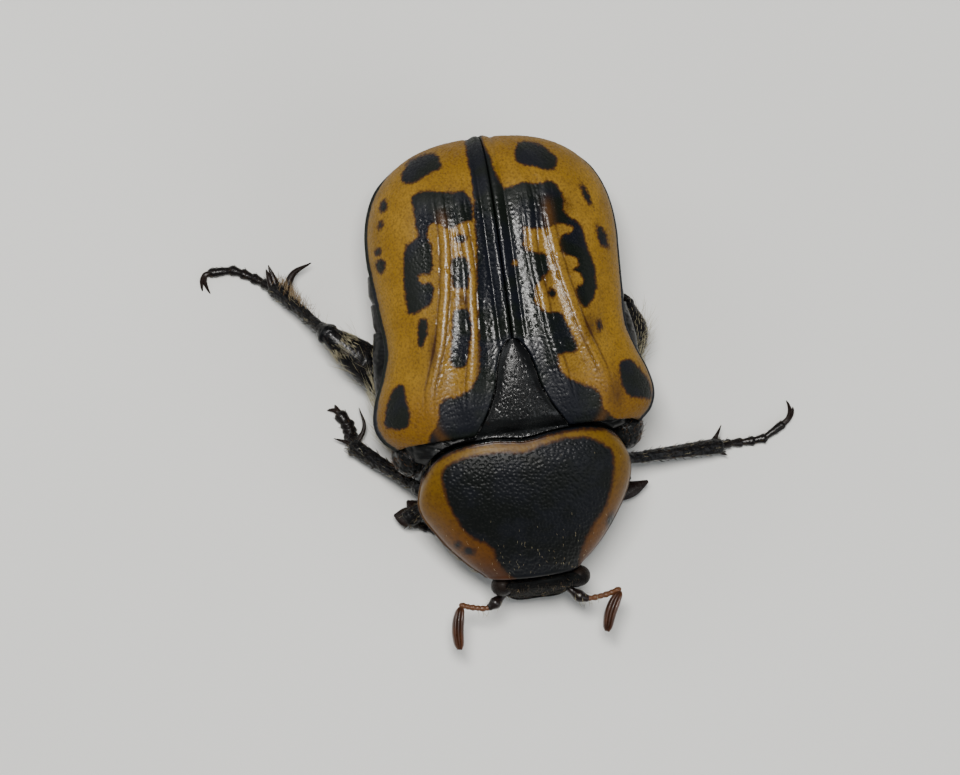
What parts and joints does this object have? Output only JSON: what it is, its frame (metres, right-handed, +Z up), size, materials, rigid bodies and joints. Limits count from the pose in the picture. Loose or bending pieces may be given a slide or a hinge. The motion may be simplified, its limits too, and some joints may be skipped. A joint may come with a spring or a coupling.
{
  "type": "kerns flower scarab",
  "caption": "Life-size flower scarab beetle standing with legs spread and head bent down, ochre wing cases marked in black, a still display model.",
  "frame": {"origin": "on the ground, under the middle of the whole model's box", "axes": "+Z up, +Y towards the beetle's tail, +X to the beetle's left; the head points to -Y"},
  "size_m": [0.0128, 0.0112, 0.0045],
  "materials": {
    "wing_case": "horny wing case, satin ochre with glossy black marks",
    "pronotum": "horny shield, coarsely pitted black with an ochre border",
    "black_cuticle": "horny black plates, satin to glossy, pitted",
    "eye": "glossy compound eye",
    "feeler": "satin red-brown feeler",
    "leg": "satin black leg with spines",
    "hair": "fine pale yellow-white hair"
  },
  "bodies": {
    "root": {"head": "black_cuticle", "eye_left": "eye", "eye_right": "eye", "antenna_stalk_left": "feeler", "antenna_club_left": "feeler", "antenna_stalk_right": "feeler", "antenna_club_right": "feeler", "pronotum": "pronotum", "scutellum": "black_cuticle", "elytron_left": "wing_case", "elytron_right": "wing_case", "thorax": "black_cuticle", "abdomen": "black_cuticle", "pygidium": "black_cuticle", "femur_front_left": "leg", "tibia_front_left": "leg", "tarsus_front_left": "leg", "femur_front_right": "leg", "tibia_front_right": "leg", "tarsus_front_right": "leg", "femur_middle_left": "leg", "tibia_middle_left": "leg", "tarsus_middle_left": "leg", "femur_middle_right": "leg", "tibia_middle_right": "leg", "tarsus_middle_right": "leg", "femur_hind_left": "leg", "tibia_hind_left": "leg", "tarsus_hind_left": "leg", "femur_hind_right": "leg", "tibia_hind_right": "leg", "tarsus_hind_right": "leg"}
  },
  "joints": []
}
